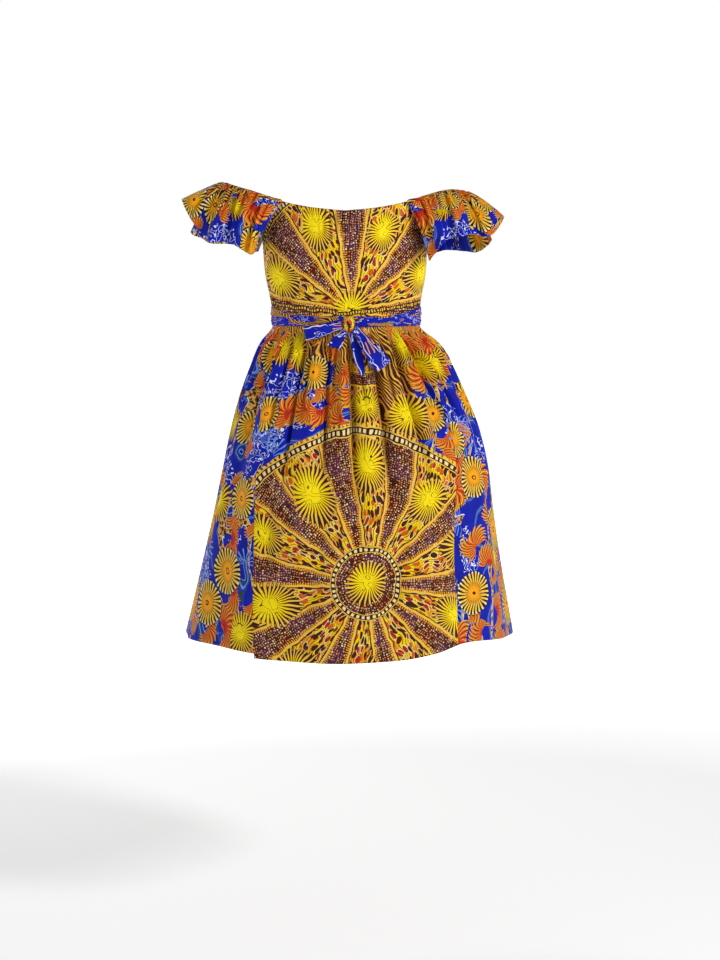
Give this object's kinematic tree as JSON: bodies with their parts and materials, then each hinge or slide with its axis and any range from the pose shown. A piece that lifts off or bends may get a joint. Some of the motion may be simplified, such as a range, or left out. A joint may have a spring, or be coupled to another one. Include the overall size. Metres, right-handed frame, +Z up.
{
  "type": "ankara wax print dress",
  "caption": "Knee-length off-the-shoulder wax print cotton dress with flounced sleeves, a gathered skirt and a sash tied in a bow behind, hollow as worn.",
  "frame": {"origin": "middle of the wearer's waist, level with the sash", "axes": "+Z up the wearer, +Y out of the dress's back, +X towards the wearer's left"},
  "size_m": [0.6203, 0.5393, 0.8477],
  "materials": {
    "gold_print": "matte printed cotton",
    "blue_print": "matte printed cotton"
  },
  "bodies": {
    "root": {"bodice_back": "gold_print", "bodice_front": "gold_print", "sleeve_left": "blue_print", "sleeve_right": "blue_print", "skirt_back": "gold_print", "skirt_side_left": "blue_print", "skirt_side_right": "blue_print", "skirt_front": "gold_print", "sash_left": "blue_print", "sash_right": "blue_print", "sash_knot": "gold_print", "sash_loop_left": "blue_print", "sash_loop_right": "blue_print", "sash_tail_left": "blue_print", "sash_tail_right": "blue_print"}
  },
  "joints": []
}
